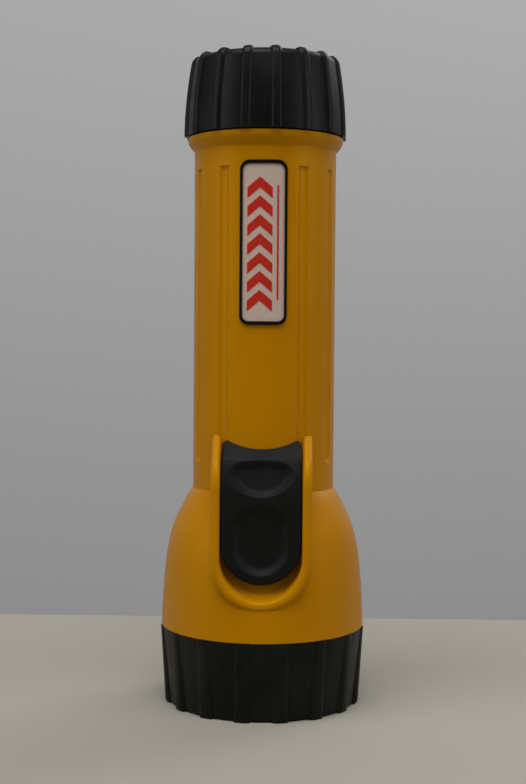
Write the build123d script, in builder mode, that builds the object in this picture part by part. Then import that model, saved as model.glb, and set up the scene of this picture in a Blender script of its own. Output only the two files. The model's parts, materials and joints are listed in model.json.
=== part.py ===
from build123d import *
import os
from math import atan2, degrees, sqrt

os.makedirs("parts", exist_ok=True)

# Two-cell hand torch, standing on its lens ring. Millimetres, +Z from lens to tail.
# The origin is on the torch's axis, at the face of the lens ring. The switch faces -Y.

# Battery: two D cells in line set the length and the bore
cell_radius = 17.1
cell_length = 61.5
cell_count = 2
cell_cap_radius = 4.75
cell_cap_height = 1.5
cell_sleeve_thickness = 0.4
cell_can_wall = 0.4
cells_z = 51.0

# Barrel
barrel_radius = 20.5
bore_radius = 17.8
wall = 2.7
neck_z = 62.5
collar_z = 159.4
collar_radius = 22.5
collar_top_z = 163.2
spigot_top_z = 176.0

# Flutes along the barrel: evenly spaced, with the one under the label left out
flute_count = 11
flute_radius = 3.0
flute_depth = 0.6
flute_bottom_z = 69.0
flute_top_z = 153.7

# Lens head and lens ring
ring_top_z = 22.4
head_radius = 29.5
ring_peak_low = 28.5
ring_peak_high = 29.85
ring_valley_low = 27.4
ring_valley_high = 29.5
ring_mouth_radius = 22.6
ring_bore_radius = 26.2
ring_lip_z = 4.6
rib_count = 16
rib_start_angle = -78.0
ring_rib_width = 5.0
ring_rib_fillet = 1.9
head_spigot_core = 25.0
head_spigot_bore = 22.6
head_spigot_z = 9.3

# Tail cap
cap_bottom_z = 163.6
cap_top_z = 185.9
cap_rib_top_z = 186.5
cap_wall = 2.4
cap_rib_width = 3.4
cap_rib_start_angle = -81.0
cap_bore_radius = 20.8
cup_radius = 17.4
cap_room_radius = 17.9
cap_shoulder_z = 177.4
tail_spigot_core = 19.6

# Screw threads on both ends
thread_pitch = 3.0
thread_height = 0.9

# Switch: the slide lies in a pocket inside a U-shaped guard
guard_top_z = 78.6
guard_outer_radius = 13.9
guard_outer_centre_z = 44.9
guard_inner_radius = 11.3
switch_travel = 3.0
slide_half_width = 11.0
slide_bottom_z = 38.2
slide_centre_z = slide_bottom_z + slide_half_width
slide_top_z = 77.4
guard_inner_centre_z = slide_centre_z - switch_travel
slide_gap = 0.3
face_low = (-28.4, 36.0)
face_high = (-26.5, 62.0)
brow_high = (-23.6, 72.4)
dish_slope = 56
dish_floor_fillet = 2.5
dish_lip_fillet = 1.0
ramp_high = (-27.2, 33.5)
ramp_low = (-20.0, 46.0)
slot_half_width = 3.2
stem_length = 7.0
stem_middle_z = 45.6
slot_length = stem_length + switch_travel + 0.8
slot_middle_z = stem_middle_z - switch_travel / 2
strip_channel_z = 47.5
strip_depth = 18.15
strip_bottom_z = 52.0
strip_top_z = 175.6
finger_depth = 17.75
plate_outer_depth = 16.2
plate_inner_depth = 14.9
screw_radius = 1.0

# Label on the barrel
badge_half_width = 6.6
badge_frame_side = 0.75
badge_frame_end = 1.0
badge_window_corner = 1.8
badge_bottom_z = 109.5
badge_top_z = 155.0
print_count = 7
print_pitch = 5.2

# Lamp and reflector
reflector_mouth_radius = 21.8
reflector_mouth_z = 8.6
reflector_apex_z = 31.4
lens_radius = 25.0
lens_thickness = 2.0
lamp_hole_radius = 5.3
lamp_base_radius = 4.5
neck_outer_radius = 7.0
neck_seat_radius = 8.4
neck_seat_z = 32.5
neck_top_z = 38.0


def save(part, name):
    """Label a finished piece and write it as one STEP file."""
    part.label = name
    export_step(part, "parts/" + name + ".step")


def ring_section(inner, outer, bottom, top):
    """Rectangle in the XZ plane that revolves to a ring."""
    with Locations(((inner + outer) / 2, (bottom + top) / 2)):
        Rectangle(outer - inner, top - bottom)


def thread_bar(surface_radius, bottom_z, turns, inward):
    """Helical thread of trapezoid section on a cylindrical surface, growing out of it or into it."""
    side = -1 if inward else 1
    root = -0.3 * side
    crest = thread_height * side
    with BuildPart() as bar:
        with BuildLine() as path:
            Helix(thread_pitch, thread_pitch * turns, surface_radius, center=(0, 0, bottom_z))
        start = Plane(origin=path.line @ 0, x_dir=(1, 0, 0), z_dir=path.line % 0)
        with BuildSketch(start):
            with BuildLine():
                Polyline((root, -0.85), (root, 0.85), (crest, 0.35), (crest, -0.35), close=True)
            make_face()
        sweep(is_frenet=True)
    return bar.part


def u_outline(radius, centre_z, top_z, flare=0.0):
    """Closed U outline in the XZ plane: a half circle below and straight sides up to top_z."""
    low = (radius, centre_z)
    high = (radius + flare, top_z)
    ThreePointArc((-low[0], low[1]), (0, centre_z - radius), low)
    Polyline(low, high, (-high[0], high[1]), (-low[0], low[1]))


def arc_plate(inner, outer, half_width, bottom_z, top_z, corner):
    """Plate with rounded corners, bent round the barrel at its front."""
    with BuildPart() as plate:
        with BuildSketch(Plane.XY.offset(bottom_z)):
            Circle(outer)
            Circle(inner, mode=Mode.SUBTRACT)
        extrude(amount=top_z - bottom_z)
        with BuildSketch(Plane.XZ):
            with Locations((0, (bottom_z + top_z) / 2)):
                RectangleRounded(2 * half_width, top_z - bottom_z, corner)
        extrude(amount=barrel_radius + 5, mode=Mode.INTERSECT)
    return plate.part


# ---------------------------------------------------------------- casing
# One flute: a shallow round-bottomed channel, rounded at the head end and square at the tail end
flute_axis = -(barrel_radius + flute_radius - flute_depth)
flute_start_z = flute_bottom_z + flute_radius
with BuildPart() as flute:
    with BuildSketch(Plane.XY.offset(flute_start_z)):
        with Locations((0, flute_axis)):
            Circle(flute_radius)
    extrude(amount=flute_top_z - flute_start_z)
    with Locations((0, flute_axis, flute_start_z)):
        Sphere(flute_radius)

# Outline of the head from the ring's top edge to the neck, then the barrel and the collar bead
with BuildPart() as outer_shape:
    with BuildSketch(Plane.XZ):
        with BuildLine():
            bell = Spline(
                (head_radius, ring_top_z + 0.05),
                (28.9, 34.5),
                (27.7, 45.1),
                (25.85, 52.2),
                (23.5, 57.3),
                (barrel_radius, neck_z),
                tangents=((-0.04, 1), (-0.62, 0.78)),
            )
            barrel = Polyline(bell @ 1, (barrel_radius, collar_z))
            flare = ThreePointArc(
                barrel @ 1,
                (barrel_radius + 0.45, collar_z + 0.55),
                (21.45, collar_z + 1.1),
            )
            bead = ThreePointArc(
                flare @ 1,
                (22.2, collar_z + 2.2),
                (collar_radius, collar_top_z),
            )
            Polyline(
                bead @ 1,
                (tail_spigot_core, collar_top_z),
                (tail_spigot_core, spigot_top_z),
                (0, spigot_top_z),
                (0, head_spigot_z),
                (head_spigot_core, head_spigot_z),
                (head_spigot_core, ring_top_z + 0.05),
                bell @ 0,
            )
        make_face()
    revolve(axis=Axis.Z)
    fillet(outer_shape.edges().filter_by(GeomType.CIRCLE).group_by(Axis.Z)[-1], 0.5)
    for number in range(1, flute_count):
        add(flute.part.rotate(Axis.Z, 360 / flute_count * number), mode=Mode.SUBTRACT)

# Guard: a block with a U outline whose front follows the slide
with BuildPart() as guard:
    with BuildSketch(Plane.XZ.offset(barrel_radius - 8.5)):
        with BuildLine():
            u_outline(guard_outer_radius, guard_outer_centre_z, guard_top_z, flare=0.2)
        make_face()
    extrude(amount=22)
    with BuildSketch(Plane.YZ):
        with BuildLine():
            front = Line((-29.75, 28.0), (-26.4, 64.5))
            brow = TangentArc(front @ 1, (-23.0, 72.0), tangent=front % 1)
            crown = Line(brow @ 1, (-14.6, guard_top_z + 1.4))
            Polyline(crown @ 1, (-8, guard_top_z + 1.4), (-8, 28.0), front @ 0)
        make_face()
    extrude(amount=20, both=True, mode=Mode.INTERSECT)
    with BuildSketch(Plane.XZ.offset(8)):
        with BuildLine():
            u_outline(guard_inner_radius, guard_inner_centre_z, guard_top_z + 5)
        make_face()
    extrude(amount=30, mode=Mode.SUBTRACT)
    # the lower inner wall leans outwards towards its crest
    with BuildSketch(Plane.XZ.offset(25)):
        with BuildLine():
            u_outline(guard_inner_radius, guard_inner_centre_z, guard_top_z + 5)
        make_face()
    extrude(amount=8, dir=(0, -1, -0.35), mode=Mode.SUBTRACT)
    rail_ends = guard.edges().filter_by(Axis.Y).filter_by(lambda edge: edge.center().Z > guard_top_z - 1)
    fillet(rail_ends, 1.2)
    rim = guard.edges().filter_by(
        lambda edge: edge.center().Y < -13.5
        and abs(edge.tangent_at(0.5).X) < 0.97
        and abs(edge.tangent_at(0.5).Y) < 0.97
    )
    fillet(rim, 1.1)

# Hollow of the casing: lamp room in the head, then the battery bore; the wall behind the
# switch pocket is left standing
with BuildPart() as hollow:
    with BuildSketch(Plane.XZ):
        with BuildLine():
            Polyline(
                (0, head_spigot_z - 1),
                (head_spigot_bore, head_spigot_z - 1),
                (head_spigot_bore, 20.0),
                (25.8, 24.5),
                (25.2, 40.0),
                (22.6, 51.0),
                (bore_radius, 60.5),
                (bore_radius, spigot_top_z + 1),
                (0, spigot_top_z + 1),
                close=True,
            )
        make_face()
    revolve(axis=Axis.Z)
    with BuildSketch(Plane.XY.offset(guard_inner_centre_z - guard_inner_radius - wall)):
        with Locations((0, -35)):
            Rectangle(2 * guard_inner_radius + 2 * wall, 70)
        Circle(bore_radius, mode=Mode.SUBTRACT)
    extrude(amount=30, mode=Mode.SUBTRACT)
    # channel for the ground strip, along the bore
    with BuildSketch(Plane.XY.offset(strip_channel_z)):
        with Locations((0, -(bore_radius + 0.2))):
            Rectangle(6.4, 2.0)
    extrude(amount=spigot_top_z + 1 - strip_channel_z)

# Room in the head for the slide, from the barrel's surface outwards; its edge runs inside the guard
with BuildPart() as pocket:
    with BuildSketch(Plane.XZ.offset(8)):
        with BuildLine():
            u_outline(
                (guard_inner_radius + guard_outer_radius) / 2,
                (guard_inner_centre_z + guard_outer_centre_z) / 2,
                guard_top_z - 8,
            )
        make_face()
    extrude(amount=30)
    with BuildSketch(Plane.XY.offset(20)):
        Circle(barrel_radius)
    extrude(amount=80, mode=Mode.SUBTRACT)

# Ramp in the lower end of the pocket: it rises towards the guard, under the slide's lower edge
with BuildPart() as ramp:
    with BuildSketch(Plane.XZ.offset(8)):
        with BuildLine():
            u_outline(guard_inner_radius + 0.9, guard_inner_centre_z - 0.8, guard_top_z - 10)
        make_face()
    extrude(amount=30)
    with BuildSketch(Plane.YZ):
        with BuildLine():
            Polyline(ramp_high, ramp_low, (ramp_low[0], ramp_high[1]), close=True)
        make_face()
    extrude(amount=20, both=True, mode=Mode.INTERSECT)

with BuildPart() as body_casing:
    add(outer_shape.part)
    add(pocket.part, mode=Mode.SUBTRACT)
    add(guard.part)
    add(ramp.part)
    add(hollow.part, mode=Mode.SUBTRACT)
    # slot for the slide's stem
    with BuildSketch(Plane.XZ.offset(bore_radius - 2)):
        with Locations((0, slot_middle_z)):
            SlotOverall(slot_length, 2 * slot_half_width, rotation=90)
    extrude(amount=12, mode=Mode.SUBTRACT)
    add(thread_bar(tail_spigot_core, collar_top_z + 2.2, 2.6, False))
    add(thread_bar(head_spigot_core, head_spigot_z + 1.8, 3.0, False))
save(body_casing.part, "body_casing")

# ---------------------------------------------------------------- lens end
# Ring: a cone with ribs that stand proud at the lens face and fade out towards the head
with BuildPart() as ring_rib:
    with BuildSketch(Plane.XZ):
        with BuildLine():
            Polyline(
                (26.4, 0.5),
                (ring_peak_low - 0.7, 0.0),
                (ring_peak_low, 0.8),
                (ring_peak_high, ring_top_z),
                (27.0, ring_top_z),
                close=True,
            )
        make_face()
    extrude(amount=ring_rib_width / 2, both=True)
    ribbed_edges = ring_rib.edges().filter_by(lambda edge: edge.center().X > 28.6 and edge.length > 15)
    fillet(ribbed_edges, ring_rib_fillet)

with BuildPart() as lens_ring:
    with BuildSketch(Plane.XZ):
        with BuildLine():
            Polyline(
                (ring_mouth_radius + 0.8, 0.0),
                (ring_valley_low - 0.8, 0.0),
                (ring_valley_low, 0.8),
                (ring_valley_high, ring_top_z),
                (ring_bore_radius, ring_top_z),
                (ring_bore_radius, ring_lip_z),
                (ring_mouth_radius, ring_lip_z),
                (ring_mouth_radius, 0.8),
                close=True,
            )
        make_face()
    revolve(axis=Axis.Z)
    with PolarLocations(0, rib_count, start_angle=rib_start_angle):
        add(ring_rib.part)
    add(thread_bar(ring_bore_radius, head_spigot_z + 1.8 + thread_pitch / 2, 2.5, True))
save(lens_ring.part, "lens_ring")

with BuildPart() as lens:
    with BuildSketch(Plane.XZ):
        ring_section(0, lens_radius, ring_lip_z + 0.05, ring_lip_z + 0.05 + lens_thickness)
    revolve(axis=Axis.Z)
    chamfer(lens.edges().filter_by(GeomType.CIRCLE), 0.3)
save(lens.part, "lens")

gasket_z = ring_lip_z + 0.05 + lens_thickness
with BuildPart() as lens_gasket:
    with BuildSketch(Plane.XZ):
        ring_section(ring_mouth_radius + 0.4, lens_radius + 0.2, gasket_z, reflector_mouth_z - 0.6)
    revolve(axis=Axis.Z)
save(lens_gasket.part, "lens_gasket")

# Reflector: a paraboloid, drawn as a quadratic curve whose middle point is where its end tangents meet
focal_length = reflector_mouth_radius**2 / (4 * (reflector_apex_z - reflector_mouth_z))


def parabola_z(radius, apex):
    """Height of the paraboloid at a radius."""
    return apex - radius**2 / (4 * focal_length)


def parabola(inner_radius, outer_radius, apex):
    """Control points of the paraboloid's outline between two radii."""
    middle = ((inner_radius + outer_radius) / 2, apex - inner_radius * outer_radius / (4 * focal_length))
    return (
        (inner_radius, parabola_z(inner_radius, apex)),
        middle,
        (outer_radius, parabola_z(outer_radius, apex)),
    )


back_apex_z = reflector_apex_z + 1.4
flange_top_z = reflector_mouth_z + 0.4
back_mouth_radius = 2 * sqrt(focal_length * (back_apex_z - flange_top_z))
with BuildPart() as reflector:
    with BuildSketch(Plane.XZ):
        with BuildLine():
            bowl = Bezier(*parabola(lamp_hole_radius, reflector_mouth_radius, reflector_apex_z))
            flange = Polyline(
                bowl @ 1,
                (reflector_mouth_radius, reflector_mouth_z - 0.6),
                (lens_radius - 0.1, reflector_mouth_z - 0.6),
                (lens_radius - 0.1, flange_top_z),
                (back_mouth_radius, flange_top_z),
            )
            back = Bezier(*parabola(neck_seat_radius, back_mouth_radius, back_apex_z))
            Polyline(
                back @ 0,
                (neck_seat_radius, neck_seat_z),
                (neck_outer_radius, neck_seat_z),
                (neck_outer_radius, neck_top_z),
                (lamp_hole_radius, neck_top_z),
                bowl @ 0,
            )
        make_face()
    revolve(axis=Axis.Z)
save(reflector.part, "reflector")

# Brass contact: a washer on the reflector's back, a sleeve up the neck and a lip under the lamp's flange
sleeve_inner = neck_outer_radius + 0.05
with BuildPart() as lamp_contact_ring:
    with BuildSketch(Plane.XZ):
        ring_section(sleeve_inner, 13.0, neck_seat_z, neck_seat_z + 0.5)
        ring_section(sleeve_inner, sleeve_inner + 0.35, neck_seat_z, neck_top_z + 0.35)
        ring_section(lamp_hole_radius + 0.3, sleeve_inner + 0.35, neck_top_z, neck_top_z + 0.35)
    revolve(axis=Axis.Z)
save(lamp_contact_ring.part, "lamp_contact_ring")

# Nut that holds the lamp's flange down on the neck, with finger ribs
flange_z = neck_top_z + 0.35
with BuildPart() as lamp_retainer:
    with BuildSketch(Plane.XZ):
        ring_section(7.7, 9.3, neck_seat_z + 0.9, flange_z + 3.0)
        ring_section(lamp_base_radius + 0.4, 9.3, flange_z + 1.0, flange_z + 3.0)
    revolve(axis=Axis.Z)
    with BuildSketch(Plane.XY.offset(neck_seat_z + 1.5)):
        with PolarLocations(9.2, 12):
            Circle(0.6)
    extrude(amount=5)
save(lamp_retainer.part, "lamp_retainer")

# ---------------------------------------------------------------- lamp
board_z = 27.9
with BuildPart() as lamp_heatsink:
    with BuildSketch(Plane.XZ):
        ring_section(0, lamp_hole_radius - 0.35, board_z + 1.1, flange_z)
        ring_section(0, 6.7, flange_z, flange_z + 0.95)
    revolve(axis=Axis.Z)
    # cooling grooves round the stem
    with BuildSketch(Plane.XZ):
        for step in range(4):
            ring_section(4.1, 6.0, board_z + 2.4 + 1.7 * step, board_z + 3.2 + 1.7 * step)
    revolve(axis=Axis.Z, mode=Mode.SUBTRACT)
save(lamp_heatsink.part, "lamp_heatsink")

with BuildPart() as led_board:
    with BuildSketch(Plane.XY.offset(board_z)):
        Circle(4.6)
        with PolarLocations(4.6, 2):
            Circle(0.7, mode=Mode.SUBTRACT)
    extrude(amount=1.1)
save(led_board.part, "led_board")

with BuildPart() as led_emitter:
    with BuildSketch(Plane.XY.offset(board_z - 0.5)):
        RectangleRounded(2.6, 2.6, 0.2)
    extrude(amount=0.5)
save(led_emitter.part, "led_emitter")

dome_radius = 2.9
dome_centre_z = board_z - 1.3
with BuildPart() as led_dome:
    with BuildSketch(Plane.XZ):
        with BuildLine():
            curve = RadiusArc((0, dome_centre_z - dome_radius), (dome_radius, dome_centre_z), -dome_radius)
            Polyline(curve @ 1, (dome_radius, board_z), (0, board_z), curve @ 0)
        make_face()
    revolve(axis=Axis.Z)
    with BuildSketch(Plane.XY.offset(board_z)):
        Rectangle(2.8, 2.8)
    extrude(amount=-0.6, mode=Mode.SUBTRACT)
save(led_dome.part, "led_dome")

base_z = flange_z + 0.95
with BuildPart() as lamp_base:
    with BuildSketch(Plane.XZ):
        ring_section(0, lamp_base_radius, base_z, base_z + 7.2)
    revolve(axis=Axis.Z)
    chamfer(lamp_base.edges().group_by(Axis.Z)[-1], 0.8)
save(lamp_base.part, "lamp_base")

with BuildPart() as lamp_insulator:
    with BuildSketch(Plane.XZ):
        ring_section(0, 3.4, base_z + 7.2, base_z + 8.6)
    revolve(axis=Axis.Z)
    chamfer(lamp_insulator.edges().group_by(Axis.Z)[-1], 0.6)
save(lamp_insulator.part, "lamp_insulator")

tip_length = cells_z - 0.3 - (base_z + 8.6)
with BuildPart() as lamp_tip:
    with BuildSketch(Plane.XZ):
        ring_section(0, 1.8, base_z + 8.6, base_z + 8.6 + tip_length)
    revolve(axis=Axis.Z)
    fillet(lamp_tip.edges().group_by(Axis.Z)[-1], 0.8)
save(lamp_tip.part, "lamp_tip")

# ---------------------------------------------------------------- switch
# Thumb dishes: each has a flat floor that curves up into wide sloping sides
with BuildPart() as upper_dish:
    with BuildSketch(Plane(origin=(0, -24.2, 66.8), x_dir=(1, 0, 0), z_dir=(0, -0.967, 0.255))):
        with BuildLine():
            lip = ThreePointArc((-6.9, 1.0), (0, -3.4), (6.9, 1.0))
            crest = ThreePointArc((6.2, 3.0), (0, 3.6), (-6.2, 3.0))
            Line(lip @ 1, crest @ 0)
            Line(crest @ 1, lip @ 0)
        make_face()
        fillet(vertices(), 1.3)
    extrude(amount=4, taper=-dish_slope)
    fillet(upper_dish.faces().sort_by(Axis.Y)[-1].edges(), dish_floor_fillet)

with BuildPart() as lower_dish:
    with BuildSketch(Plane(origin=(0, -26.0, 50.5), x_dir=(1, 0, 0), z_dir=(0, -0.9973, 0.073))):
        with BuildLine():
            lip = ThreePointArc((-5.7, -2.2), (0, -7.9), (5.7, -2.2))
            right_side = Line(lip @ 1, (5.7, 4.4))
            crest = ThreePointArc(right_side @ 1, (0, 7.9), (-5.7, 4.4))
            Line(crest @ 1, lip @ 0)
        make_face()
        fillet(vertices().group_by(Axis.Y)[-1], 2.0)
    extrude(amount=4, taper=-dish_slope)
    fillet(lower_dish.faces().sort_by(Axis.Y)[-1].edges(), dish_floor_fillet)

# Side view of the slide's front: the thumb face, then the brow that falls back to the barrel
with BuildLine(Plane.YZ) as slide_front:
    face_line = Line(face_low, face_high)
    TangentArc(face_high, brow_high, tangent=face_line % 1)


def on_front(point):
    """True for a point on the slide's front surface."""
    return slide_front.line.distance_to(Vertex(0, point.Y, point.Z)) < 0.02


# Slide: a thumb piece with a round lower end, a steep ramp above and two thumb dishes
with BuildPart() as slide_button:
    with BuildSketch(Plane.XZ.offset(13)):
        with BuildLine():
            u_outline(slide_half_width, slide_centre_z, slide_top_z)
        make_face()
        fillet(vertices().group_by(Axis.Y)[-1], 1.8)
    extrude(amount=20)
    with BuildSketch(Plane.YZ):
        with BuildLine():
            thumb_face = Line(face_low, face_high)
            TangentArc(face_high, brow_high, tangent=thumb_face % 1)
            Polyline(brow_high, (-14.0, 81.4), (-5, 81.4), (-5, 36.0), face_low)
        make_face()
        fillet(vertices().filter_by(lambda point: abs(point.Y - brow_high[1]) < 0.1), 1.2)
    extrude(amount=20, both=True, mode=Mode.INTERSECT)
    outline = slide_button.edges().filter_by(
        lambda edge: edge.center().Y < -16
        and abs(edge.tangent_at(0.5).Y) < 0.97
        and not (edge.geom_type == GeomType.LINE and abs(edge.tangent_at(0.5).X) > 0.97)
    )
    fillet(outline, 0.7)
    with BuildSketch(Plane.XY.offset(30)):
        Circle(barrel_radius + 0.3)
    extrude(amount=60, mode=Mode.SUBTRACT)
    # underside of the lower end: parallel to the pocket's ramp, clear of it over the whole travel
    with BuildSketch(Plane.YZ):
        with BuildLine():
            near = (ramp_low[0] - slide_gap, ramp_low[1] + switch_travel + slide_gap)
            far = (ramp_high[0] - slide_gap, ramp_high[1] + switch_travel + slide_gap)
            Polyline(near, far, (far[0], far[1] - 8), (near[0] + 5, far[1] - 8), (near[0] + 5, near[1]), near)
        make_face()
    extrude(amount=20, both=True, mode=Mode.SUBTRACT)
    for dish in (upper_dish, lower_dish):
        add(dish.part, mode=Mode.SUBTRACT)
    lips = slide_button.edges().filter_by(
        lambda edge: abs((edge @ 0.5).X) < slide_half_width - 1
        and slide_bottom_z + 0.8 < (edge @ 0.5).Z < brow_high[1] - 0.3
        and abs((edge @ 0.5).Z - face_high[1]) > 0.01
        and on_front(edge @ 0.5)
    )
    fillet(lips, dish_lip_fillet)
    # stem through the casing, and the hole for the keeper's screw
    with BuildSketch(Plane.XZ.offset(plate_outer_depth)):
        with Locations((0, stem_middle_z)):
            SlotOverall(stem_length, 2 * (slot_half_width - slide_gap), rotation=90)
    extrude(amount=8.5)
    with BuildSketch(Plane.XZ.offset(plate_outer_depth)):
        with Locations((0, stem_middle_z)):
            Circle(screw_radius + 0.05)
    extrude(amount=5.5, mode=Mode.SUBTRACT)
save(slide_button.part, "slide_button")

# Carriage: the plate behind the wall that keeps the slide on
with BuildPart() as switch_carriage:
    with BuildSketch(Plane.XZ.offset(plate_inner_depth)):
        with Locations((0, stem_middle_z)):
            RectangleRounded(12.6, 9.2, 1.0)
            Circle(screw_radius + 0.05, mode=Mode.SUBTRACT)
    extrude(amount=plate_outer_depth - plate_inner_depth)
save(switch_carriage.part, "switch_carriage")

# Contact leaf: clamped under the screw, a finger up into the strip's channel and a foot towards the lamp
leaf = 0.35
leaf_depth = plate_inner_depth - leaf
with BuildPart() as switch_contact:
    with BuildSketch(Plane.YZ):
        with BuildLine():
            path = Polyline(
                (-finger_depth, 58.0),
                (-finger_depth, 53.0),
                (-leaf_depth, 50.7),
                (-leaf_depth, 41.0),
                (-11.6, 36.8),
                (-10.6, 36.8),
            )
            offset(path, amount=leaf / 2, side=Side.BOTH)
        make_face()
    extrude(amount=2.3, both=True)
    with BuildSketch(Plane.XZ.offset(leaf_depth - 1)):
        with Locations((0, stem_middle_z)):
            Circle(screw_radius + 0.05)
    extrude(amount=3, mode=Mode.SUBTRACT)
save(switch_contact.part, "switch_contact")

with BuildPart() as keeper_screw:
    with BuildSketch(Plane.XZ.offset(leaf_depth - leaf / 2 - 1.2)):
        with Locations((0, stem_middle_z)):
            Circle(1.9)
    extrude(amount=1.2)
    with BuildSketch(Plane.XZ.offset(leaf_depth - leaf / 2)):
        with Locations((0, stem_middle_z)):
            Circle(screw_radius)
    extrude(amount=6.0)
    with BuildSketch(Plane.XZ.offset(leaf_depth - leaf / 2 - 1.2)):
        with Locations((0, stem_middle_z)):
            Rectangle(3.0, 0.5)
            Rectangle(0.5, 3.0)
    extrude(amount=0.7, mode=Mode.SUBTRACT)
save(keeper_screw.part, "keeper_screw")

# Ground strip in its channel
with BuildPart() as ground_strip:
    with BuildSketch(Plane.XZ.offset(strip_depth)):
        with Locations((0, (strip_bottom_z + strip_top_z) / 2)):
            RectangleRounded(5.0, strip_top_z - strip_bottom_z, 0.8)
    extrude(amount=0.4)
save(ground_strip.part, "ground_strip")

# ---------------------------------------------------------------- tail
def cap_outline(inset):
    """Outside of the cap, from its skirt to the edge of its end, moved inwards by inset."""
    return [
        (23.6 - inset, cap_bottom_z),
        (23.4 - inset, 169.6),
        (22.7 - inset, 177.2),
        (21.7 - inset, 184.1),
    ]


with BuildPart() as cap_rib:
    with BuildSketch(Plane.XZ):
        with BuildLine():
            side = Spline(*cap_outline(0))
            nose = TangentArc(side @ 1, (20.0, cap_rib_top_z), tangent=side % 1)
            Polyline(
                nose @ 1,
                (17.6, cap_top_z - 0.1),
                (19.8, 182.6),
                (21.2, 176.5),
                (21.6, cap_bottom_z),
                side @ 0,
            )
        make_face()
    extrude(amount=cap_rib_width / 2, both=True)
    rounded = cap_rib.edges().filter_by(
        lambda edge: abs(edge.center().Y) > 1 and edge.length > 2 and edge.center().X > 20.0
        and edge.center().Z > cap_bottom_z + 1 and edge.geom_type != GeomType.LINE
    )
    fillet(rounded, 1.3)

with BuildPart() as tail_cap:
    with BuildSketch(Plane.XZ):
        with BuildLine():
            side = Spline(*cap_outline(0.75))
            shoulder = TangentArc(side @ 1, (19.4, cap_top_z), tangent=side % 1)
            Polyline(
                shoulder @ 1,
                (15.6, cap_top_z),
                (15.0, cap_top_z - 0.6),
                (0, cap_top_z - 0.6),
                (0, cap_top_z - cap_wall),
                (cap_room_radius, cap_top_z - cap_wall),
                (cap_room_radius, cap_shoulder_z),
                (cap_bore_radius, cap_shoulder_z),
                (cap_bore_radius, cap_bottom_z),
                side @ 0,
            )
        make_face()
    revolve(axis=Axis.Z)
    with PolarLocations(0, rib_count, start_angle=cap_rib_start_angle):
        add(cap_rib.part)
    add(thread_bar(cap_bore_radius, collar_top_z + 2.2 + thread_pitch / 2, 2.2, True))
save(tail_cap.part, "tail_cap")

with BuildPart() as tail_cap_seal:
    with BuildSketch(Plane.XZ):
        ring_section(cap_room_radius + 0.2, cap_bore_radius - 0.2, spigot_top_z + 0.05, cap_shoulder_z)
    revolve(axis=Axis.Z)
save(tail_cap_seal.part, "tail_cap_seal")

# Contact cup: pressed metal, its skirt reaches down to the ground strip
cup_top_z = cap_top_z - cap_wall - 0.3
cells_top_z = cells_z + cell_count * cell_length
with BuildPart() as tail_contact_cup:
    with BuildSketch(Plane.XZ):
        with BuildLine():
            Polyline(
                (cup_radius, cells_top_z + 0.8),
                (cup_radius, cup_top_z),
                (0, cup_top_z),
                (0, cup_top_z - 0.5),
                (cup_radius - 0.5, cup_top_z - 0.5),
                (cup_radius - 0.5, cells_top_z + 0.8),
                close=True,
            )
        make_face()
    revolve(axis=Axis.Z)
    fillet(tail_contact_cup.edges().filter_by(GeomType.CIRCLE).group_by(Axis.Z)[-1], 0.6)
save(tail_contact_cup.part, "tail_contact_cup")

# Conical coil spring between the last cell and the cup
wire_radius = 0.6
spring_low_radius = 5.5
spring_high_radius = 12.0
spring_turns = 4
spring_bottom_z = cells_top_z + wire_radius + 0.05
spring_height = cup_top_z - 0.5 - wire_radius - 0.05 - spring_bottom_z
spring_angle = degrees(atan2(spring_high_radius - spring_low_radius, spring_height))
with BuildPart() as tail_spring:
    with BuildLine() as coil:
        Helix(
            spring_height / spring_turns,
            spring_height,
            spring_low_radius,
            center=(0, 0, spring_bottom_z),
            cone_angle=spring_angle,
        )
    with BuildSketch(Plane(origin=coil.line @ 0, z_dir=coil.line % 0)):
        Circle(wire_radius)
    sweep(is_frenet=True)
save(tail_spring.part, "tail_spring")

# ---------------------------------------------------------------- cells, positive end towards the lens
for number in range(1, cell_count + 1):
    low_z = cells_z + (number - 1) * cell_length
    can_z = low_z + cell_cap_height + 0.5
    high_z = low_z + cell_length
    can_radius = cell_radius - cell_sleeve_thickness
    with BuildPart() as cell_can:
        with BuildSketch(Plane.XZ):
            ring_section(can_radius - cell_can_wall, can_radius, can_z, high_z)
            ring_section(0, can_radius, high_z - cell_can_wall, high_z)
        revolve(axis=Axis.Z)
        fillet(cell_can.edges().filter_by(GeomType.CIRCLE).group_by(Axis.Z)[-1], 0.5)
    save(cell_can.part, f"cell_{number}_can")
    with BuildPart() as cell_core:
        with BuildSketch(Plane.XZ):
            ring_section(0, can_radius - cell_can_wall, can_z + 0.1, high_z - cell_can_wall)
        revolve(axis=Axis.Z)
    save(cell_core.part, f"cell_{number}_core")
    with BuildPart() as cell_sleeve:
        with BuildSketch(Plane.XZ):
            ring_section(can_radius, cell_radius, can_z + 0.8, high_z - 0.8)
        revolve(axis=Axis.Z)
    save(cell_sleeve.part, f"cell_{number}_sleeve")
    with BuildPart() as cell_cap:
        with BuildSketch(Plane.XZ):
            ring_section(0, cell_cap_radius, low_z, can_z)
            ring_section(0, 8.0, can_z - 0.5, can_z)
        revolve(axis=Axis.Z)
        fillet(cell_cap.edges().group_by(Axis.Z)[0], 0.4)
    save(cell_cap.part, f"cell_{number}_positive_cap")
    with BuildPart() as cell_seal:
        with BuildSketch(Plane.XZ):
            ring_section(8.2, cell_radius - 1.2, can_z - 0.4, can_z)
        revolve(axis=Axis.Z)
    save(cell_seal.part, f"cell_{number}_seal")

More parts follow.
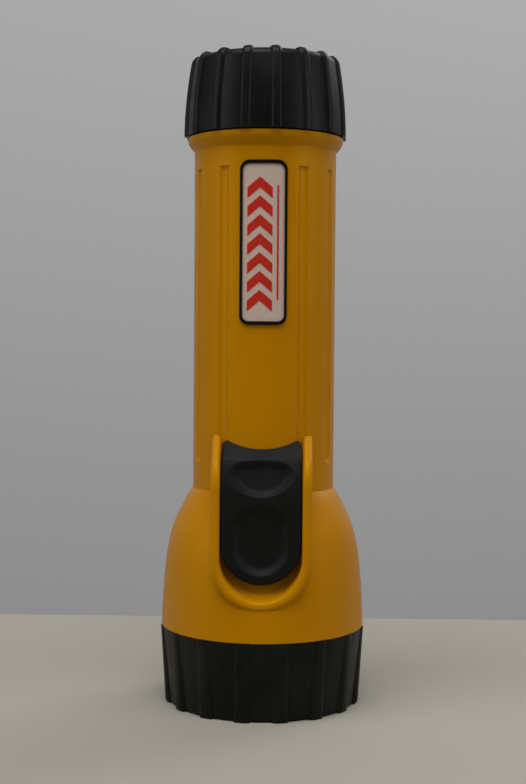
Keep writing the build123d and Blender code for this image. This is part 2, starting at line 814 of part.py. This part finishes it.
# ---------------------------------------------------------------- label
badge_middle_z = (badge_bottom_z + badge_top_z) / 2
badge_base = barrel_radius + 0.01
with BuildPart() as badge_border:
    add(arc_plate(badge_base, badge_base + 0.55, badge_half_width, badge_bottom_z, badge_top_z, 2.6))
    window = arc_plate(
        badge_base - 0.5,
        badge_base + 1.0,
        badge_half_width - badge_frame_side,
        badge_bottom_z + badge_frame_end,
        badge_top_z - badge_frame_end,
        badge_window_corner,
    )
    add(window, mode=Mode.SUBTRACT)
save(badge_border.part, "badge_border")


def label_layer(inner, outer, gap):
    """One layer of the label inside the frame."""
    return arc_plate(
        badge_base + inner,
        badge_base + outer,
        badge_half_width - badge_frame_side - gap,
        badge_bottom_z + badge_frame_end + gap,
        badge_top_z - badge_frame_end - gap,
        badge_window_corner,
    )


with BuildPart() as badge_label:
    add(label_layer(0.0, 0.2, 0.03))
save(badge_label.part, "badge_label")

# Print: a column of chevrons and a thin line beside it
with BuildPart() as badge_print:
    with BuildSketch(Plane.XZ.offset(barrel_radius - 4)):
        for step in range(print_count):
            with Locations((-1.0, badge_bottom_z + 5.5 + print_pitch * step)):
                Polygon(
                    (-3.5, -1.8), (0, 1.2), (3.5, -1.8), (3.5, 1.2), (0, 4.2), (-3.5, 1.2), align=None
                )
        with Locations((4.0, badge_middle_z)):
            Rectangle(0.5, badge_top_z - badge_bottom_z - 14)
    extrude(amount=6)
    with BuildSketch(Plane.XY.offset(badge_bottom_z)):
        Circle(badge_base + 0.26)
        Circle(badge_base + 0.21, mode=Mode.SUBTRACT)
    extrude(amount=badge_top_z - badge_bottom_z, mode=Mode.INTERSECT)
save(badge_print.part, "badge_print")

with BuildPart() as badge_dome:
    add(label_layer(0.27, 0.8, 0.03))
    rim = badge_dome.faces().sort_by(SortBy.AREA)[-2:].sort_by(Axis.Y)[0].outer_wire().edges()
    fillet(rim, 0.35)
save(badge_dome.part, "badge_dome")
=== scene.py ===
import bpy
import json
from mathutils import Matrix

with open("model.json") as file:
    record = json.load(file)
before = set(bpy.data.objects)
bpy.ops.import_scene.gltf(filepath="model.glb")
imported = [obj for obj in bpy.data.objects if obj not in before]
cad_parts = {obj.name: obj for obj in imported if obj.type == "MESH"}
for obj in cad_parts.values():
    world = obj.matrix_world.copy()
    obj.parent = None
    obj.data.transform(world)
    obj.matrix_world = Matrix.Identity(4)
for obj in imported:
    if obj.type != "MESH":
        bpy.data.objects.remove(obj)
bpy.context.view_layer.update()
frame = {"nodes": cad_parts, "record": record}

import json
from math import cos, radians, sin

import bmesh
import bpy
from mathutils import Matrix, Vector

MM = 0.001
nodes = frame["nodes"]
scene = bpy.context.scene

# ---------------------------------------------------------------- node helpers


class Shader:
    """A material's node tree, with short calls for the nodes that the surfaces below use."""

    def __init__(self, name):
        self.material = bpy.data.materials.new(name)
        self.material.use_nodes = True
        self.tree = self.material.node_tree
        self.surface = self.tree.nodes["Principled BSDF"]
        self.coords = self.tree.nodes.new("ShaderNodeTexCoord").outputs["Object"]

    def set(self, **values):
        """Uniform values on the shader's own sockets, named with underscores for spaces."""
        for name, value in values.items():
            self.surface.inputs[name.replace("_", " ")].default_value = value
        return self

    def link(self, output, name):
        self.tree.links.new(output, self.surface.inputs[name])
        return self

    def node(self, kind, inputs=None, **settings):
        made = self.tree.nodes.new(kind)
        for name, value in settings.items():
            setattr(made, name, value)
        for name, value in (inputs or {}).items():
            if hasattr(value, "links"):
                self.tree.links.new(value, made.inputs[name])
            else:
                made.inputs[name].default_value = value
        return made

    def noise(self, scale, detail=4.0, roughness=0.55, distortion=0.0, stretch=None):
        """Noise value, scale in features per metre; stretch scales the axes."""
        coords = self.coords
        if stretch:
            coords = self.node("ShaderNodeMapping", {"Vector": coords, "Scale": stretch}).outputs[0]
        inputs = {
            "Vector": coords,
            "Scale": scale,
            "Detail": detail,
            "Roughness": roughness,
            "Distortion": distortion,
        }
        return self.node("ShaderNodeTexNoise", inputs).outputs["Fac"]

    def remap(self, value, low, high, to_low=0.0, to_high=1.0):
        inputs = {
            "Value": value,
            "From Min": low,
            "From Max": high,
            "To Min": to_low,
            "To Max": to_high,
        }
        return self.node("ShaderNodeMapRange", inputs).outputs[0]

    def math(self, kind, first, second):
        return self.node("ShaderNodeMath", {0: first, 1: second}, operation=kind).outputs[0]

    def mix(self, factor, first, second):
        made = self.tree.nodes.new("ShaderNodeMix")
        made.data_type = "RGBA"
        for socket, value in ((0, factor), (6, first), (7, second)):
            if hasattr(value, "links"):
                self.tree.links.new(value, made.inputs[socket])
            else:
                made.inputs[socket].default_value = value
        return made.outputs[2]

    def bump(self, height, distance, strength=1.0, under=None):
        inputs = {"Height": height, "Distance": distance, "Strength": strength}
        if under is not None:
            inputs["Normal"] = under
        return self.node("ShaderNodeBump", inputs).outputs[0]


def color(red, green, blue):
    """Opaque colour in linear values."""
    return (red, green, blue, 1.0)


# ---------------------------------------------------------------- materials


def yellow_plastic():
    """Moulded polypropylene: fine grain, faint flow marks, slightly dusty."""
    shader = Shader("casing_yellow")
    cloud = shader.remap(shader.noise(38.0, 3.0), 0.3, 0.7)
    flow = shader.remap(shader.noise(16.0, 4.0, stretch=(3.0, 3.0, 0.35)), 0.35, 0.7)
    tint = shader.mix(cloud, color(0.465, 0.188, 0.0004), color(0.505, 0.208, 0.0006))
    tint = shader.mix(shader.math("MULTIPLY", flow, 0.3), tint, color(0.440, 0.172, 0.0004))
    shader.link(tint, "Base Color")
    gloss = shader.remap(shader.noise(120.0, 5.0), 0.3, 0.7, 0.36, 0.46)
    shader.link(gloss, "Roughness")
    grain = shader.bump(shader.noise(2600.0, 2.0), 0.00003, 0.35)
    waves = shader.bump(shader.noise(90.0, 2.0), 0.0002, 0.08, grain)
    shader.link(waves, "Normal")
    shader.set(IOR=1.49, Specular_IOR_Level=0.40, Specular_Tint=color(1.0, 0.60, 0.03))
    return shader.material


def black_plastic(name, base, low_gloss, high_gloss, dust):
    """Moulded black plastic: satin, fine grain, a trace of dust in soft patches."""
    shader = Shader(name)
    patch = shader.remap(shader.noise(70.0, 5.0, 0.6), 0.45, 0.75)
    tone = shader.mix(shader.math("MULTIPLY", patch, dust), base, color(0.022, 0.022, 0.020))
    shader.link(tone, "Base Color")
    gloss = shader.remap(shader.noise(160.0, 5.0), 0.3, 0.7, low_gloss, high_gloss)
    shader.link(gloss, "Roughness")
    grain = shader.bump(shader.noise(2200.0, 2.0), 0.00003, 0.4)
    shader.link(grain, "Normal")
    shader.set(IOR=1.5, Specular_IOR_Level=0.15)
    return shader.material


def metal(name, tone, roughness, stretch=(1.0, 1.0, 1.0), variation=0.12):
    """Bare metal with a drawn or turned grain; a small stretch factor makes it long on that axis."""
    shader = Shader(name)
    grain = shader.noise(900.0, 3.0, stretch=stretch)
    worn = tuple(channel * (1 - variation) for channel in tone[:3]) + (1.0,)
    shader.link(shader.mix(shader.remap(grain, 0.3, 0.7), worn, tone), "Base Color")
    shader.link(shader.remap(grain, 0.3, 0.7, roughness * 0.8, roughness * 1.25), "Roughness")
    shader.link(shader.bump(grain, 0.00002, 0.25), "Normal")
    shader.set(Metallic=1.0)
    return shader.material


def clear(name, roughness, ior, tone=(1.0, 1.0, 1.0, 1.0)):
    """Clear plastic or resin with faint haze."""
    shader = Shader(name)
    haze = shader.remap(shader.noise(300.0, 4.0), 0.45, 0.75, roughness, roughness + 0.05)
    shader.link(haze, "Roughness")
    shader.link(shader.bump(shader.noise(60.0, 2.0), 0.0001, 0.05), "Normal")
    shader.set(Base_Color=tone, Transmission_Weight=1.0, IOR=ior)
    return shader.material


def resin(name):
    """Clear gloss coat over a print: mostly see-through, with its own highlights."""
    shader = Shader(name)
    shader.link(shader.remap(shader.noise(300.0, 4.0), 0.4, 0.75, 0.04, 0.10), "Roughness")
    shader.link(shader.bump(shader.noise(70.0, 2.0), 0.0001, 0.10), "Normal")
    shader.set(Base_Color=color(0.15, 0.10, 0.08), Alpha=0.035, IOR=1.5, Specular_IOR_Level=0.9)
    return shader.material


def rubber(name):
    """Matt black with a dry bloom."""
    shader = Shader(name)
    bloom = shader.remap(shader.noise(200.0, 5.0), 0.4, 0.75)
    shader.link(shader.mix(bloom, color(0.014, 0.014, 0.014), color(0.04, 0.04, 0.038)), "Base Color")
    shader.link(shader.bump(shader.noise(1500.0, 3.0), 0.00005, 0.5), "Normal")
    shader.set(Roughness=0.75)
    return shader.material


def printed(name, tone, fade):
    """Printed film: even ink with a trace of mottling."""
    shader = Shader(name)
    mottle = shader.remap(shader.noise(900.0, 3.0), 0.35, 0.7)
    faded = tuple(channel * fade for channel in tone[:3]) + (1.0,)
    shader.link(shader.mix(mottle, tone, faded), "Base Color")
    shader.link(shader.remap(mottle, 0.0, 1.0, 0.34, 0.42), "Roughness")
    shader.set(Specular_IOR_Level=0.15)
    return shader.material


def phosphor():
    """Emitter's yellow coat: matt, with coarse specks."""
    shader = Shader("emitter_yellow")
    speck = shader.remap(shader.noise(4000.0, 3.0), 0.3, 0.7)
    shader.link(shader.mix(speck, color(0.85, 0.68, 0.12), color(0.92, 0.78, 0.22)), "Base Color")
    shader.set(Roughness=0.6)
    return shader.material


# grain directions of the metals: long along Z, or fine rings across it
ALONG_Z = (1.0, 1.0, 0.1)
ACROSS_Z = (1.0, 1.0, 6.0)
TURNED = (0.2, 0.2, 6.0)

MATERIALS = {
    "casing_yellow": yellow_plastic(),
    "moulding_black": black_plastic("moulding_black", color(0.0036, 0.0039, 0.0031), 0.34, 0.46, 0.3),
    "slide_black": black_plastic("slide_black", color(0.0034, 0.0040, 0.0031), 0.52, 0.62, 0.15),
    "seal_rubber": rubber("seal_rubber"),
    "lens_clear": clear("lens_clear", 0.01, 1.58, color(0.97, 0.99, 1.0)),
    "reflector_mirror": metal("reflector_mirror", color(0.92, 0.92, 0.94), 0.06, variation=0.04),
    "contact_brass": metal("contact_brass", color(0.80, 0.58, 0.25), 0.28, ALONG_Z),
    "spring_steel": metal("spring_steel", color(0.62, 0.61, 0.60), 0.25, ACROSS_Z),
    "lamp_aluminium": metal("lamp_aluminium", color(0.78, 0.79, 0.80), 0.32, TURNED),
    "emitter_yellow": phosphor(),
    "dome_clear": clear("dome_clear", 0.02, 1.41),
    "cell_steel": metal("cell_steel", color(0.66, 0.65, 0.63), 0.30, ALONG_Z),
    "cell_sleeve": printed("cell_sleeve", color(0.03, 0.05, 0.12), 0.85),
    "cell_paste": rubber("cell_paste"),
    "badge_black": printed("badge_black", color(0.004, 0.0035, 0.003), 1.3),
    "badge_white": printed("badge_white", color(0.64, 0.485, 0.41), 0.94),
    "badge_red": printed("badge_red", color(0.57, 0.022, 0.008), 0.9),
    "badge_clear": resin("badge_clear"),
}


def dress_nodes():
    """Every CAD node takes the material of its slot."""
    for subpart in frame["record"]["subparts"]:
        data = nodes[subpart["node"]].data
        data.materials.clear()
        data.materials.append(MATERIALS[subpart["material_slot"]])


dress_nodes()

# ---------------------------------------------------------------- stage, light and camera


def slab(name, low, high, tone):
    """A plain matt block of the stage."""
    mesh = bmesh.new()
    bmesh.ops.create_cube(mesh, size=1.0)
    for vert in mesh.verts:
        for axis in range(3):
            vert.co[axis] = high[axis] if vert.co[axis] > 0 else low[axis]
    data = bpy.data.meshes.new(name)
    mesh.to_mesh(data)
    mesh.free()
    block = bpy.data.objects.new(name, data)
    scene.collection.objects.link(block)
    shader = Shader(name)
    shader.set(Base_Color=tone, Roughness=0.7, Specular_IOR_Level=0.2)
    data.materials.append(shader.material)


def stage():
    """A pale worktop that ends behind the torch, and a pale wall further back."""
    worktop_front = -1.1
    worktop_back = 0.112
    wall_front = 0.70
    wall_back = 0.72
    slab(
        "stage_worktop",
        (-1.6, worktop_front, -0.03),
        (1.6, worktop_back, 0.0),
        color(0.36, 0.335, 0.285),
    )
    slab("stage_wall", (-2.2, wall_front, -1.0), (2.2, wall_back, 1.8), color(0.56, 0.56, 0.565))


def area_light(name, place, target, size, power):
    """White rectangular lamp at a place, turned towards a target."""
    data = bpy.data.lights.new(name, "AREA")
    data.shape = "RECTANGLE"
    data.size, data.size_y = size
    data.energy = power
    light = bpy.data.objects.new(name, data)
    light.location = place
    aim = Vector(target) - Vector(place)
    light.rotation_euler = aim.to_track_quat("-Z", "Y").to_euler()
    scene.collection.objects.link(light)


def lights():
    """A large soft light above the camera, weak ones at both sides and one behind."""
    middle = (0.0, 0.0, 0.09)
    area_light("key_ceiling", (-0.12, -0.50, 1.30), middle, (1.2, 0.8), 15.0)
    area_light("fill_left", (-1.1, -0.45, 0.50), middle, (0.6, 0.8), 3.0)
    area_light("fill_right", (1.1, -0.45, 0.50), middle, (0.6, 0.8), 3.0)
    area_light("fill_back", (0.55, 0.62, 0.75), middle, (0.6, 0.5), 4.0)
    world = bpy.data.worlds.new("studio")
    world.use_nodes = True
    background = world.node_tree.nodes["Background"]
    background.inputs["Color"].default_value = color(0.92, 0.95, 1.0)
    background.inputs["Strength"].default_value = 0.10
    scene.world = world


def camera():
    """Stands in front of the torch, a little above its middle, looking slightly down."""
    distance = 392.6 * MM
    height = 106.6 * MM
    side = -0.24 * MM
    pitch = radians(2.41)
    roll = radians(0.41)
    turn = Matrix.Rotation(radians(1.2), 4, "Z")
    forward = Vector((0, cos(pitch), -sin(pitch)))
    up = Vector((0, sin(pitch), cos(pitch)))
    right = Vector((1, 0, 0))
    rolled_right = right * cos(roll) + up * sin(roll)
    rolled_up = up * cos(roll) - right * sin(roll)
    pose = Matrix.Identity(4)
    for row in range(3):
        pose[row][0] = rolled_right[row]
        pose[row][1] = rolled_up[row]
        pose[row][2] = -forward[row]
    pose.translation = (side, -distance, height)
    data = bpy.data.cameras.new("camera")
    data.sensor_fit = "VERTICAL"
    data.sensor_height = 36.0
    data.lens = 61.65
    data.clip_start = 0.01
    view = bpy.data.objects.new("camera", data)
    view.matrix_world = turn @ pose
    scene.collection.objects.link(view)
    scene.camera = view


stage()
lights()
camera()
scene.view_settings.view_transform = "Standard"
